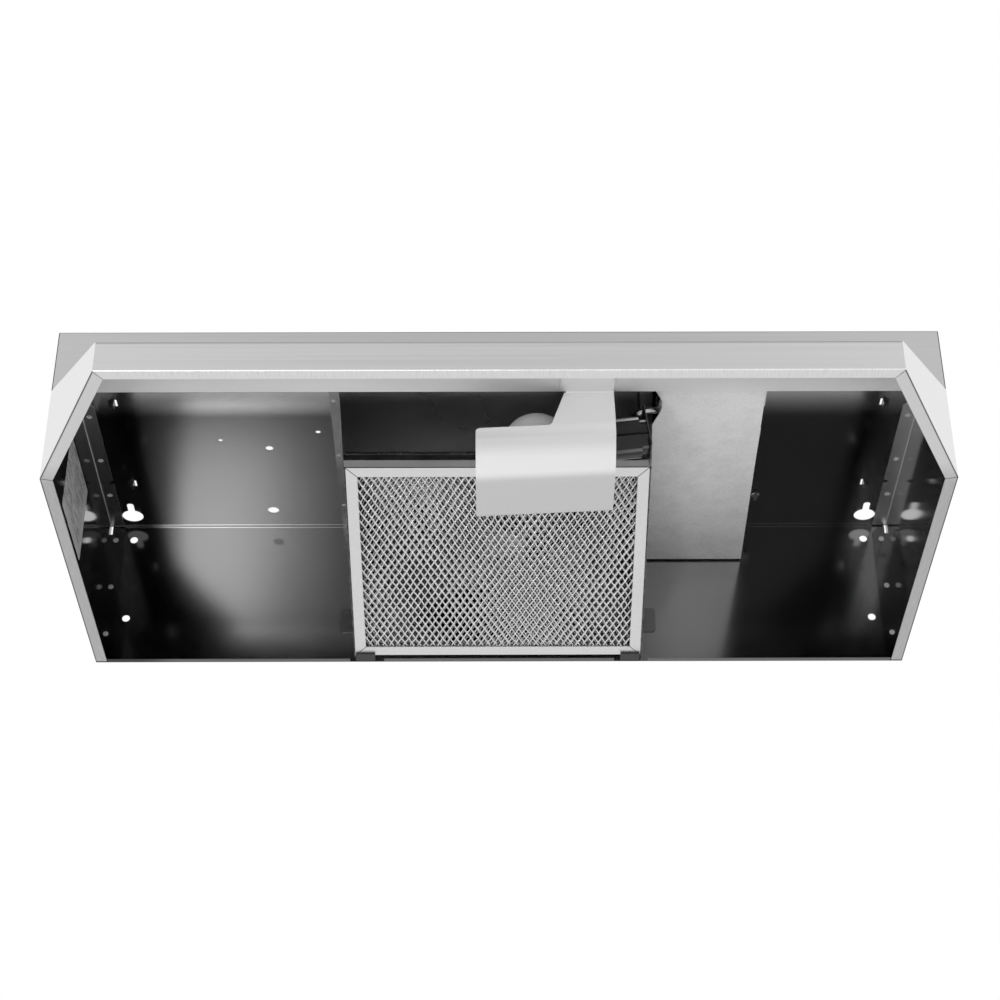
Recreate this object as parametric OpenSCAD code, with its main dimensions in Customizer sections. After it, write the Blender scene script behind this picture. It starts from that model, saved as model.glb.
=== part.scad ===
// Under cabinet range hood, an assembly of sheet metal, fan, lamp and wiring.
// Row frame in mm: origin on the cabinet underside plane at the wall, middle of the hood.
// X right, Y towards the wall, Z up. Heights in the modules are taken from the bottom rim.

/* [Sheet metal body] */
// overall width of the body
body_w = 758.8; // [600:0.1:920]
// height from bottom rim to cabinet plane
body_h = 152.4; // [120:0.1:180]
// depth from wall to front lip
body_d = 457.2; // [430:0.1:520]
// depth of the flat top and of the vertical fascia
top_d = 308.7; // [290:0.1:330]
// width of the front lip between the mitred flanks
lip_w = 627; // [500:0.1:758]
// height of the vertical front lip
lip_h = 28.7; // [15:0.1:50]
// height of the fascia's lower edge, where the visor starts
fascia_h = 89.8; // [60:0.1:120]
// sheet thickness
sheet = 0.8; // [0.6:0.1:1.2]
// width of the hem flange round the rim
hem = 10.4; // [6:0.1:20]
// bend radius at the top of the lip
lip_r = 4.2; // [2:0.1:8]

/* [Fixing holes] */
// half distance between the fixing holes
fix_x = 355.5; // [300:0.1:440]
// distance of the cabinet keyhole's round end from the wall
key_y = 19; // [15:0.1:60]
// radius of the keyhole's round end
key_r = 10.2; // [6:0.1:12]
// width of the keyhole's narrow end
key_slot = 6.5; // [4:0.1:10]
// upper and lower height of the wall holes
wall_hi = 135.8; // [100:0.1:145]
wall_lo = 47.5; // [20:0.1:90]
// radius of the wall holes
wall_r = 3.7; // [2:0.1:6]

/* [Fan chamber and filter] */
// half width of the chamber walls at the filter
chamber_x = 134.4; // [120:0.1:150]
// half width of the chamber at the ceiling, left and right
chamber_top_x = 141; // [125:0.1:160]
chamber_top_r = 138.6; // [125:0.1:160]
// the chamber and filter sit this far off the hood's middle
chamber_dx = -1.2; // [-3:0.1:3]
// distance of the chamber's front wall from the hood's wall side
chamber_y = 224; // [200:0.1:260]
// filter width and length
filter_w = 266.7; // [200:0.1:300]
filter_l = 222.25; // [150:0.1:300]
// filter thickness
filter_t = 9; // [6:0.1:15]
// visible width of the filter frame
filter_rim = 10; // [6:0.1:16]
// filter's rear lower edge: distance from the wall and height
filter_y = 10.7; // [8:0.1:20]
filter_z = 1.3; // [1:0.1:10]
// slope of the filter
filter_a = 17.8; // [10:0.1:30]

/* [Fan] */
// distance of the fan's axis from the wall
fan_y = 113; // [100:0.1:140]
// radius of the fan blades
fan_r = 84; // [60:0.1:95]
// radius of the orifice
orifice_r = 89; // [70:0.1:100]
// height of the orifice plate's underside
orifice_h = 95; // [80:0.1:110]

/* [Lamp and lens] */
// globe centre: across, out from the wall and height
lamp_x = 32; // [0:0.1:60]
lamp_y = 280; // [250:0.1:300]
lamp_h = 50; // [40:0.1:60]
// tilt of the lamp
lamp_a = 7.5; // [0:0.1:15]
// left and right edge of the lens
lens_x0 = -19.4; // [-40:0.1:0]
lens_x1 = 97; // [80:0.1:120]
// left edge of the arm at its foot and how far it leans over a hundred
arm_x0 = 43.4; // [30:0.1:80]
arm_lean = 28.2; // [0:0.1:40]
// height of the low part's upper edge
lens_low = 43; // [30:0.1:50]
// wall thickness of the lens
lens_t = 1.6; // [1:0.1:3]
// how far the lens hangs down towards its left end
lens_a = 3; // [0:0.1:4]

/* [Wiring cover and switches] */
// left and right edge of the wiring cover
cover_x0 = 136.6; // [130:0.1:160]
cover_x1 = 234; // [180:0.1:260]
// height of the wiring cover at the wall and at the front
cover_h0 = 111; // [90:0.1:130]
cover_h1 = 126; // [100:0.1:140]
// places of the light switch and the fan switch
light_sw_x = 168; // [150:0.1:300]
fan_sw_x = 206; // [150:0.1:300]
// height of the switches
switch_h = 127; // [100:0.1:140]

/* [Duct connector] */
// duct opening across and front to back
duct_w = 254; // [200:0.1:260]
duct_d = 82.6; // [70:0.1:100]
// distance of the duct's middle from the wall
duct_y = 60; // [50:0.1:80]
// height of the collar above the cabinet plane
collar_h = 32; // [20:0.1:60]

/* [Hidden] */
$fn = 48;
t = sheet;
wx = body_w / 2;
lx = lip_w / 2;
cei = body_h - t;
slope = (fascia_h - lip_h) / (body_d - top_d);
slope_cos = 1 / sqrt(1 + slope * slope);
flank_d = [lx - wx, top_d - body_d];
flank_n = [flank_d[1], -flank_d[0]] / norm(flank_d);

function unit(v) = v / norm(v);
function leftn(a, b) = [a[1] - b[1], b[0] - a[0]] / norm(b - a);
function offp(p, i, s) =
    i == 0 ? p[0] + s * leftn(p[0], p[1])
    : i == len(p) - 1 ? p[i] + s * leftn(p[i - 1], p[i])
    : let (a = leftn(p[i - 1], p[i]), b = leftn(p[i], p[i + 1]), m = unit(a + b))
        p[i] + m * s / (m * a);
function side_of(p, s) = [for (i = [0:len(p) - 1]) offp(p, i, s)];
function rev(p) = [for (i = [len(p) - 1:-1:0]) p[i]];
function strip(p, w) = concat(side_of(p, w / 2), rev(side_of(p, -w / 2)));
function arc3(a, b, c, r, k) =
    let (u = unit(a - b), v = unit(c - b), h = acos(u * v) / 2, f = 180 - 2 * h,
        o = b + unit(u + v) * r / sin(h), s = unit(b + u * r / tan(h) - o), e = unit(b + v * r / tan(h) - o))
        [for (j = [0:k]) o + r * (sin((1 - j / k) * f) * s + sin(j / k * f) * e) / sin(f)];
function bends(p, r, k = 4) = concat([p[0]],
    [for (i = [1:len(p) - 2]) each arc3(p[i - 1], p[i], p[i + 1], r, k)], [p[len(p) - 1]]);
function visor_h(y) = fascia_h - (y - top_d) * slope;
function under_h(y) = visor_h(y) - t / slope_cos;
function mid_h(y) = visor_h(y) - t / 2 / slope_cos;
function cover_h(y) = cover_h0 + (cover_h1 - cover_h0) * (y - 3.4) / 280.6;
function wall_x(h, top) = h < 69 ? chamber_x : chamber_x + (top - chamber_x) * (h - 69) / (cei - 69.4);

// lifts heights measured from the rim into the row frame
module rim() {
    translate([0, 0, -body_h])
        children();
}

// a profile drawn in depth and height, drawn out across
module across(x0, x1) {
    translate([x0, 0, 0])
        rotate([90, 0, 90])
            linear_extrude(x1 - x0)
                children();
}

// a profile drawn across and in height, drawn out in depth
module deep(y0, y1) {
    translate([0, y1, 0])
        rotate([90, 0, 0])
            linear_extrude(y1 - y0)
                children();
}

// a profile drawn in plan, drawn out in height
module up(z0, z1) {
    translate([0, 0, z0])
        linear_extrude(z1 - z0)
            children();
}

module slab(x0, x1, y0, y1, z0, z1) {
    translate([x0, y0, z0])
        cube([x1 - x0, y1 - y0, z1 - z0]);
}

module rod(r, z0, z1) {
    translate([0, 0, z0])
        cylinder(r = r, h = z1 - z0);
}

module both() {
    children();
    mirror([1, 0, 0])
        children();
}

// a rectangle with rounded corners
module pill(x0, x1, y0, y1, r) {
    translate([x0 + r, y0]) square([x1 - x0 - 2 * r, y1 - y0]);
    translate([x0, y0 + r]) square([x1 - x0, y1 - y0 - 2 * r]);
    for (x = [x0 + r, x1 - r], y = [y0 + r, y1 - r])
        translate([x, y]) circle(r);
}

// ---- sheet metal body ----

module keyhole() {
    translate([fix_x, -key_y]) circle(key_r);
    translate([fix_x - key_slot / 2, -key_y - 18.8]) square([key_slot, 18.8]);
    translate([fix_x, -key_y - 18.8]) circle(key_slot / 2);
}

module top_panel() {
    color("silver")
        rim()
            up(cei, body_h)
                difference() {
                    translate([-wx, -top_d]) square([body_w, top_d]);
                    keyhole();
                    mirror([1, 0]) keyhole();
                    translate([-duct_w / 2 - 0.6, -duct_y - duct_d / 2 - 0.6])
                        square([duct_w + 1.2, duct_d + 1.2]);
                    for (s = [-1, 1], y = [-76, -206])
                        translate([s * 345 - 1, y - 5]) square([2, 10]);
                    translate([-257, -147]) circle(2.1);
                    translate([-213, -134]) circle(3.6);
                    translate([-218, -29]) circle(5.35);
                    translate([-166, -160]) circle(2.3);
                    translate([246, -54]) circle(3.5);
                    translate([190, -58]) circle(11.1);
                }
}

module back_panel() {
    color("silver")
        rim() {
            deep(-t, 0)
                difference() {
                    translate([-wx + t, 0]) square([body_w - 2 * t, cei]);
                    for (s = [-1, 1], h = [wall_lo, wall_hi])
                        translate([s * fix_x, h]) circle(wall_r);
                    // relief where the folds meet
                    for (s = [-1, 1])
                        translate([s * (wx - t - 0.2) - 1.5, cei - 10]) square([3, 11]);
                }
            both() slab(140, wx - t - hem, -6, -t, 0, t);
            slab(-108, 108, -6, -t, 0, t);
        }
}

module front_fascia() {
    color("silver")
        rim()
            deep(-top_d, -top_d + t)
                difference() {
                    translate([-wx + t, fascia_h + 0.5]) square([body_w - 2 * t, cei - fascia_h - 0.5]);
                    for (x = [light_sw_x, fan_sw_x])
                        translate([x - 9.6, switch_h - 6.6]) square([19.2, 13.2]);
                }
}

visor_pts = [[-top_d + 1.5 * t, fascia_h + 12.2], [-top_d + 1.5 * t, mid_h(top_d - 1.5 * t)],
    [-body_d + t / 2, mid_h(body_d - t / 2)], [-body_d + t / 2, t / 2 + 0.01]];
visor_low = concat(arc3(visor_pts[1], visor_pts[2], visor_pts[3], lip_r, 5), [visor_pts[3]]);
visor_mid = concat([visor_pts[0]], arc3(visor_pts[0], visor_pts[1], visor_pts[2], 0.5, 2), visor_low);

module visor() {
    color("silver")
        rim() {
            intersection() {
                across(-wx, wx) polygon(strip(visor_mid, t));
                union() {
                    up(-1, body_h) polygon([[-wx, -top_d], [wx, -top_d], [lx, -body_d], [-lx, -body_d]]);
                    slab(-wx + t, wx - t, -top_d, -top_d + 20, 0, body_h);
                }
            }
            up(0, t)
                polygon([[-lx + 0.6, -body_d + 0.2], [lx - 0.6, -body_d + 0.2], corner_f() + [-0.3, 0],
                    [-corner_f()[0] + 0.3, corner_f()[1]]]);
        }
}

// inner corner of the hem at the lip, and at the side
function hem_line(o) = [wx, -top_d] - flank_n * -o;
function corner_f() = let (a = [wx, -top_d] + flank_in * hem, u = unit(flank_d),
    k = (-body_d + hem - a[1]) / u[1]) a + u * k;
function corner_d() = let (a = [wx, -top_d] + flank_in * hem, u = unit(flank_d), k = (wx - hem - a[0]) / u[0])
    a + u * k;
function flank_at(o, y) = let (a = [wx, -top_d] + flank_in * o, u = unit(flank_d), k = (y - a[1]) / u[1])
    a + u * k;
flank_in = -[-flank_d[1], flank_d[0]] / norm(flank_d);

module side_sheet() {
    // vertical side
    slab(wx - t, wx, -top_d, 0, 0, cei);
    // mitred flank under the visor
    intersection() {
        up(0, fascia_h)
            polygon([[wx, -top_d], flank_at(0, -body_d + t), flank_at(t, -body_d + t), flank_at(t, -top_d),
                [wx - t, -top_d]]);
        across(0, wx)
            polygon(concat(side_of(concat([visor_pts[1]], visor_low), t / 2),
                [[-body_d + t, -1], [-top_d, -1], [-top_d, under_h(top_d)]]));
    }
    // hem flange
    up(0, t) {
        polygon([[wx - t / 2, -2], [wx - t / 2, -top_d + 0.1], corner_d() + [0, 0.5], [wx - hem, -2]]);
        polygon([flank_at(t / 2, -top_d - 1.0), flank_at(t / 2, -body_d + t + 0.6), corner_f() + [0.3, 0.8],
            corner_d() + [0, -0.3]]);
    }
    // flange on the ceiling
    up(cei - t, cei)
        difference() {
            polygon([[wx - t / 2, -3], [wx - t / 2, -212], [wx - t - 4, -212], [wx - t - 12.8, -200],
                [wx - t - 12.8, -3]]);
            polygon([[wx - t - 13, -82], [wx - t - 8, -79], [wx - t - 13, -76]]);
        }
    // flange on the back panel
    deep(-2 * t, -t)
        polygon([[wx - t / 2, 3], [wx - t / 2, cei - 10], [wx - t - 1.7, cei - 10], [wx - t - 1.7, cei - 3],
            [wx - t - 8, cei - 3], [wx - t - 14, cei - 10], [wx - t - 14, 3]]);
}

module side_panel_right() {
    color("silver") rim() side_sheet();
}

module side_panel_left() {
    color("silver") mirror([1, 0, 0]) rim() side_sheet();
}

// spot welds pressed into the flanges
module spot_welds() {
    color("gray")
        rim() {
            for (x = [-149, 143], y = [-40, -124, -210])
                translate([x, y, cei - t - 0.25]) cylinder(r = 2, h = 0.25);
            both() {
                for (y = [-57, -116, -186])
                    translate([wx - 7.2, y, cei - t - 0.25]) cylinder(r = 2.6, h = 0.25);
                for (h = [30, 82, 135])
                    translate([wx - 6.4, -2 * t - 0.25, h]) rotate([-90, 0, 0]) cylinder(r = 2.6, h = 0.25);
            }
        }
}

// small lanced tabs beside the ceiling slots
module ceiling_tabs() {
    color("silver")
        rim()
            both()
                for (y = [-76, -206])
                    deep(y - 4, y + 4) polygon([[346.4, cei], [352, cei], [347.2, cei - 4.2], [346.4, cei - 4.2]]);
}

// ---- fan chamber ----

module chamber_sheet(top) {
    intersection() {
        deep(-chamber_y + t / 2, -2 * t)
            polygon(strip(bends([[chamber_x, 0], [chamber_x, 69], [top, cei - t / 2],
                [top + 10, cei - t / 2]], 1, 3), t));
        across(0, wx)
            polygon([[-chamber_y, 69.5], [-2 * t, 3.5], [-2 * t, cei], [-chamber_y, cei]]);
    }
    // rounded tab welded on the back panel
    deep(-2 * t, -t) pill(chamber_x - t / 2, 150, 31, 57, 4);
}

module in_chamber() {
    translate([chamber_dx, 0, -body_h])
        children();
}

module chamber_side_right() {
    color("silver")
        in_chamber()
            difference() {
                chamber_sheet(chamber_top_r);
                translate([125, -152, lead_h]) rotate([0, 90, 0]) cylinder(r = 4.6, h = 30);
            }
}

module chamber_side_left() {
    color("silver") in_chamber() mirror([1, 0, 0]) chamber_sheet(chamber_top_x);
}

module chamber_front() {
    color("silver")
        in_chamber() {
            deep(-chamber_y - t / 2, -chamber_y + t / 2)
                polygon([[-wall_x(78, chamber_top_x) - t / 2, 78], [wall_x(78, chamber_top_r) + t / 2, 78],
                    [chamber_top_r + t / 2, cei], [-chamber_top_x - t / 2, cei]]);
            slab(-130, 130, -chamber_y, -chamber_y + 10, cei - t, cei);
        }
}

module filter_ledge() {
    color("silver")
        in_chamber()
            across(-chamber_x, chamber_x)
                polygon(strip(bends([[-chamber_y - t, 84.4], [-chamber_y - t, 77], [-chamber_y - 8.2, 77],
                    [-chamber_y - 8.2, 69.7], [-chamber_y + 0.3, 69.7]], 0.9, 3), t));
}

module filter_clips() {
    color("dimgray")
        in_chamber()
            both()
                across(115, 133)
                    polygon(strip(bends([[-1.5 * t, 26], [-1.5 * t, t / 2], [-14, t / 2]], 0.9, 3), t));
}

module in_filter() {
    in_chamber()
        translate([0, -filter_y, filter_z])
            rotate([-filter_a, 0, 0])
                children();
}

module filter_frame() {
    g = 1.1;
    color("lightgray")
        in_filter()
            difference() {
                slab(-filter_w / 2, filter_w / 2, -filter_l, 0, 0, filter_t);
                slab(-filter_w / 2 + filter_rim, filter_w / 2 - filter_rim, -filter_l + filter_rim, -filter_rim,
                    -1, filter_t + 1);
                slab(-filter_w / 2 + g, filter_w / 2 - g, -filter_l + g, -g, g, filter_t - g);
                // joints of the folded rim at the corners
                for (s = [-1, 1], q = [[-filter_l, 1], [0, -1]])
                    translate([s * filter_w / 2, q[0], 0])
                        rotate([0, 0, -s * q[1] * 45 + (s > 0 ? 180 : 0)])
                            slab(-1, filter_rim * 1.3, -0.2, 0.2, -1, 0.3);
            }
}

module filter_mesh() {
    g = 1.4;
    color("silver")
        in_filter()
            for (z = [g + 0.4, filter_t / 2 - 0.15, filter_t - g - 0.7])
                slab(-filter_w / 2 + g, filter_w / 2 - g, -filter_l + g, -g, z, z + 0.3);
}

module at_fan() {
    rim()
        translate([0, -fan_y, 0])
            children();
}

module orifice_plate() {
    color("silver")
        difference() {
            union() {
                in_chamber()
                    deep(-chamber_y + t / 2 + 0.1, -2 * t)
                        polygon(strip(bends([[-134.2, 86], [-134.2, orifice_h + t / 2],
                            [134.2, orifice_h + t / 2], [134.2, 86]], 1, 3), t));
                at_fan() rod(orifice_r + t, orifice_h, orifice_h + 12);
            }
            at_fan() rod(orifice_r, orifice_h - 1, orifice_h + 13);
            rim() translate([124, -150, 0]) rod(3.4, 90, 100);
        }
}

// strap that carries the motor under the orifice
module motor_strap() {
    color("silver")
        difference() {
            at_fan()
                up(orifice_h - 1.5, orifice_h) {
                    translate([-120, -13]) square([240, 26]);
                }
            at_fan() {
                rod(9, 80, 100);
                for (y = [-19, 19])
                    translate([10, y / 2.375, 80]) cylinder(r = 4, h = 20);
                for (x = [-108, 108], y = [-7, 7])
                    translate([x, y, 80]) cylinder(r = 1.9, h = 20);
            }
        }
}

module strap_screws() {
    color("gray")
        at_fan()
            for (x = [-108, 108], y = [-7, 7])
                translate([x, y, 0]) {
                    rod(3.6, orifice_h - 3.7, orifice_h - 1.5);
                    rod(1.9, orifice_h - 3, orifice_h);
                }
}

// ---- motor ----

module motor_stator() {
    color("dimgray")
        at_fan()
            up(64, 84)
                difference() {
                    translate([-50, -24]) square([78, 48]);
                    circle(12.7);
                    translate([-38, -14]) square([18, 28]);
                    for (y = [-16, 16])
                        translate([18, y]) circle(2.1);
                }
}

module motor_coil() {
    color("firebrick")
        at_fan()
            difference() {
                union() {
                    slab(-57, -31, -13, 13, 58.5, 89.5);
                    slab(-58.5, -29.5, -13.6, -11.6, 56.5, 91.5);
                    slab(-58.5, -29.5, 11.6, 13.6, 56.5, 91.5);
                }
                slab(-50, -38, -20, 20, 64, 84);
            }
}

// two cast end brackets that hold the bearings
module motor_brackets() {
    color("gray")
        at_fan()
            difference() {
                union() {
                    slab(-12, 24, -20, 20, 58, 60.5);
                    slab(-12, 24, -20, 20, 87.5, 90);
                    rod(8.5, 55.5, 60.5);
                    rod(8.5, 87.5, 92.5);
                    for (y = [-16, 16])
                        translate([18, y, 0]) {
                            rod(4.2, 58, 64);
                            rod(4.2, 84, 90);
                        }
                    for (y = [-16, 16])
                        translate([-8, y, 0]) {
                            rod(3.4, 58, 64);
                            rod(3.4, 84, 90);
                        }
                }
                rod(6, 50, 95);
                for (y = [-16, 16])
                    translate([18, y, 50]) cylinder(r = 2.1, h = 50);
            }
}

module motor_bushes() {
    color("goldenrod")
        at_fan()
            difference() {
                union() {
                    rod(6, 56.5, 61.5);
                    rod(6, 86.5, 91.5);
                }
                rod(3.05, 50, 95);
            }
}

module motor_bolts() {
    color("gray")
        at_fan()
            for (y = [-16, 16])
                translate([18, y, 0]) {
                    rod(2.1, 54.5, 93);
                    rod(3.8, 54.5, 58);
                    rod(3.8, 90, 93);
                }
}

module motor_rotor() {
    color("slategray")
        at_fan()
            difference() {
                union() {
                    rod(12, 64, 84);
                    rod(10.5, 62.6, 85.4);
                }
                rod(3, 50, 95);
            }
}

module motor_shaft() {
    color("lightgray") at_fan() rod(3, 54.6, 124);
}

module fan_blade() {
    color("darkgray")
        at_fan()
            difference() {
                union() {
                    rod(17, 101, 122);
                    intersection() {
                        rod(fan_r, 95, 130);
                        for (a = [0:72:359])
                            rotate([0, 0, a])
                                translate([0, 0, 112])
                                    rotate([27, 0, 0])
                                        translate([12, -29, -0.6])
                                            linear_extrude(1.2)
                                                polygon([[0, 12], [8, 6], [36, 0], [80, 4], [80, 52], [60, 58],
                                                    [30, 50], [6, 40], [0, 36]]);
                    }
                }
                rod(3, 90, 130);
            }
}

// ---- duct connector and damper ----

module duct_connector() {
    w = duct_w / 2;
    d = duct_d / 2;
    color("silver")
        translate([0, -duct_y, 0])
            difference() {
                union() {
                    slab(-w, w, -d, d, -2 * t, collar_h);
                    slab(-w - 9, w + 9, -d - 9, d + 9, -2 * t, -t);
                }
                difference() {
                    slab(-w + t, w - t, -d + t, d - t, -5, collar_h + 1);
                    slab(-100, 100, d - t - 4.5, d, 10.6, 11.4);
                }
                translate([-w - 5, -d + 4.2, 12.2]) rotate([0, 90, 0]) cylinder(r = 1.55, h = duct_w + 10);
            }
}

module damper_flap() {
    w = duct_w / 2 - t - 0.8;
    color("lightgray")
        translate([0, -duct_y, 12.2])
            difference() {
                union() {
                    slab(-w, w, -duct_d / 2 + 4.2, duct_d / 2 - t - 0.8, -0.4, 0.4);
                    translate([-w, -duct_d / 2 + 4.2, 0]) rotate([0, 90, 0]) cylinder(r = 2.4, h = 2 * w);
                }
                translate([-w - 5, -duct_d / 2 + 4.2, 0]) rotate([0, 90, 0]) cylinder(r = 1.5, h = 2 * w + 10);
            }
}

module damper_pin() {
    color("gray")
        translate([-duct_w / 2 - 1.2, -duct_y - duct_d / 2 + 4.2, 12.2])
            rotate([0, 90, 0])
                cylinder(r = 1.5, h = duct_w + 2.4);
}

module connector_screws() {
    color("gray")
        for (x = [-120, 120], y = [-5.2, 5.2])
            translate([x, -duct_y + (duct_d / 2) * sign(y) + y, 0]) {
                rod(3.2, -4 * t, -2 * t);
            }
}

// ---- wiring compartment ----

cover_mid = bends([[-3.4, 120], [-3.4, cover_h0], [-284, cover_h1], [-290, 118], [-307.2, 118]], 1.2, 3);

module wiring_cover() {
    color("gainsboro")
        rim()
            difference() {
                union() {
                    across(cover_x0, cover_x1) polygon(strip(cover_mid, t));
                    // right hand wall and its flange on the ceiling
                    across(cover_x1 - t, cover_x1)
                        polygon(concat(cover_mid, [[-307.2, cei], [-3.4, cei]]));
                    slab(cover_x1 - t, cover_x1 + 6.5, -166, -10, cei - t, cei);
                    slab(cover_x1 - t, cover_x1 + 6.5, -270, -200.6, cei - t, cei);
                }
                // rounded notch where the lamp cable passes
                up(100, 140)
                    polygon(concat([[cover_x0 - 1, -263]], bends([[cover_x0 - 0.5, -263], [cover_x0 + 7.3, -246],
                        [cover_x0 + 7.1, -233], [cover_x0 - 0.5, -211]], 5, 4), [[cover_x0 - 1, -211]]));
            }
}

module wiring_divider() {
    color("silver")
        rim() {
            slab(140.6, 141.4, -307, -268, 128, cei);
            slab(141, 150, -303, -272, cei - t, cei);
        }
}

module cover_screws() {
    color("gray")
        rim()
            for (y = [-52, -230])
                translate([cover_x1 + 3.4, y, 0]) rod(2.8, cei - t - 1.9, cei - t);
}

module cable_knockout() {
    color("silver")
        rim()
            translate([246, -54, cei - 0.8])
                difference() {
                    union() {
                        cylinder(r = 3.4, h = 0.6);
                        translate([-1.6, -9, -2.2]) cube([3.2, 14, 2.2]);
                    }
                    translate([-3, -7, -1.4]) cube([6, 8, 1.4]);
                }
}

module ground_screw() {
    color("forestgreen")
        rim()
            translate([158, -40, 0]) {
                rod(4, cei - 3, cei);
                rod(6, cei - 1, cei);
            }
}

module wire_nuts() {
    color("goldenrod")
        rim()
            for (p = [[182, -112, 133], [200, -112, 133]])
                translate(p)
                    rotate([90, 0, 0])
                        difference() {
                            union() {
                                cylinder(r1 = 6.4, r2 = 4.2, h = 18);
                                cylinder(r = 6.6, h = 6);
                            }
                            translate([0, 0, -1]) cylinder(r = 3.4, h = 11);
                        }
}

// ---- switches ----

module at_switch(x) {
    rim()
        translate([x, -305.5, switch_h])
            children();
}

module switch_housing() {
    difference() {
        union() {
            slab(-10.9, 10.9, -5.1, -3.2, -7.9, 7.9);
            slab(-9.5, 9.5, -3.2, 13.5, -6.5, 6.5);
            for (x = [-6, 0, 6])
                slab(x - 2.4, x + 2.4, 13.5, 20, -0.4, 0.4);
        }
        slab(-9, 9, -6, 7.5, -6, 6);
        translate([0, 0, -10]) cylinder(r = 1.25, h = 20);
    }
}

module switch_rocker() {
    linear_extrude(11.2, center = true)
        polygon([[-7.6, -6.9], [-3.8, -6], [0, -5.7], [3.8, -6], [7.6, -6.9], [7.6, 1], [3, 2.6], [-3, 2.6],
            [-7.6, 1]]);
    translate([0, 0, -6.45]) cylinder(r = 1.2, h = 12.9);
}

module light_switch_housing() {
    color("black") at_switch(light_sw_x) switch_housing();
}

module fan_switch_housing() {
    color("black") at_switch(fan_sw_x) switch_housing();
}

module light_rocker() {
    color("black") at_switch(light_sw_x) rotate([0, 0, 9]) switch_rocker();
}

module fan_rocker() {
    color("black") at_switch(fan_sw_x) switch_rocker();
}

// ---- lamp ----

module at_lamp() {
    rim()
        translate([lamp_x, -lamp_y, lamp_h])
            rotate([0, -lamp_a, 0])
                rotate([0, 90, 0])
                    children();
}

module lamp_socket() {
    color("black")
        at_lamp()
            difference() {
                union() {
                    rod(18, 56, 88);
                    rod(16, 54.4, 56);
                    rod(15, 88, 94);
                }
                rod(14.3, 50, 86);
            }
}

module socket_shell() {
    color("goldenrod")
        at_lamp()
            difference() {
                rod(14.3, 62, 84);
                rod(13.7, 60, 90);
            }
}

module socket_contact() {
    color("goldenrod")
        at_lamp() {
            rod(3, 84.4, 86);
            slab(-3, 3, -10, 3, 84.4, 85.2);
        }
}

module socket_bracket() {
    color("silver")
        difference() {
            rim()
                intersection() {
                    deep(-298, -236)
                        polygon(strip(bends([[128.6, 42.5], [122.9, 86.1],
                            [122.9, cei - t / 2], [109, cei - t / 2]], 1.5, 3), t));
                    // wide plate at the socket, narrow strap above it
                    across(100, 140)
                        polygon([[-298, 40], [-264.8, 40], [-264.8, 78], [-236, 91], [-236, cei + 1],
                            [-256.5, cei + 1], [-256.5, 90], [-298, 84]]);
                }
            at_lamp() rod(7, 90, 100);
        }
}

module bulb_glass() {
    color("white")
        at_lamp()
            rotate_extrude()
                polygon(concat([for (a = [-90:7.5:38]) [30 * cos(a), 30 * sin(a)]],
                    [[20.6, 24.6], [17.4, 32], [15.2, 41], [13.9, 50], [13, 56], [12, 56], [12.9, 50], [14.2, 41],
                    [16.4, 32], [19.6, 24]], [for (a = [38:-7.5:-90]) [29 * cos(a), 29 * sin(a)]],
                    [[0, -29]]));
}

module bulb_base() {
    color("silver")
        at_lamp() {
            rod(13.1, 56, 76);
            translate([0, 0, 76]) cylinder(r1 = 13.1, r2 = 6, h = 4);
            rod(4.8, 80, 82);
        }
}

// ---- light lens ----

lens_p = [[-239.2, 73], [-239.2, 10.8], [-306, 10.8], [-328.5, 37], [-313.2, 84.9]];
lens_mid = concat([lens_p[0]], arc3(lens_p[0], lens_p[1], lens_p[2], 7, 5),
    arc3(lens_p[1], lens_p[2], lens_p[3], 38, 18), arc3(lens_p[2], lens_p[3], lens_p[4], 14, 14), [lens_p[4]]);
// bent foot at the arm's upper end, flat under the visor
lens_foot = bends([[-316.2, 75.8], [-313.6, under_h(313.6) - 1.4], [-357, under_h(357) - 1.4]], 1.8, 4);

module light_lens() {
    color("white")
        rim() {
            multmatrix([[1, 0, 0, 0], [0, 1, 0, 0], [tan(lens_a), 0, 1, 0.6 - lens_x1 * tan(lens_a)],
                [0, 0, 0, 1]])
                difference() {
                    intersection() {
                        union() {
                            across(lens_x0, lens_x1) polygon(strip(lens_mid, lens_t));
                            intersection() {
                                union() {
                                    across(lens_x0, lens_x0 + lens_t) polygon(lens_mid);
                                    across(lens_x1 - lens_t, lens_x1) polygon(lens_mid);
                                }
                                slab(-100, 200, -400, -200, 0, 37);
                            }
                        }
                        up(-10, 120) pill(lens_x0, lens_x1, -330.2, -238.4, 4);
                    }
                    // step between the low part and the arm
                    deep(-400, -300)
                        polygon(concat([[-200, lens_low - 8]],
                            bends([[lens_x0 - 0.1, lens_low - 8], [lens_x0 - 0.1, lens_low],
                                [arm_x0, lens_low], [arm_x0 + arm_lean * (1.2 - lens_low / 100), 120]], 4, 5),
                            [[-200, 120]]));
                    // rear wall is lower beside the socket
                    deep(-250, -200)
                        polygon(concat([[200, 30]], bends([[lens_x1 + 5, 30], [72, 30], [72, 120]], 5, 4),
                            [[200, 120]]));
                }
            across(56.6, lens_x1) polygon(strip(lens_foot, lens_t));
            across(51, 57) polygon(strip([[-315, under_h(315) - 1.4], lens_foot[len(lens_foot) - 1]], lens_t));
        }
}

module rating_label() {
    color("white")
        rim()
            across(-wx + t, -wx + t + 0.2) pill(-221, -128, 33, 108.5, 2);
}

// ---- leads ----

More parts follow.
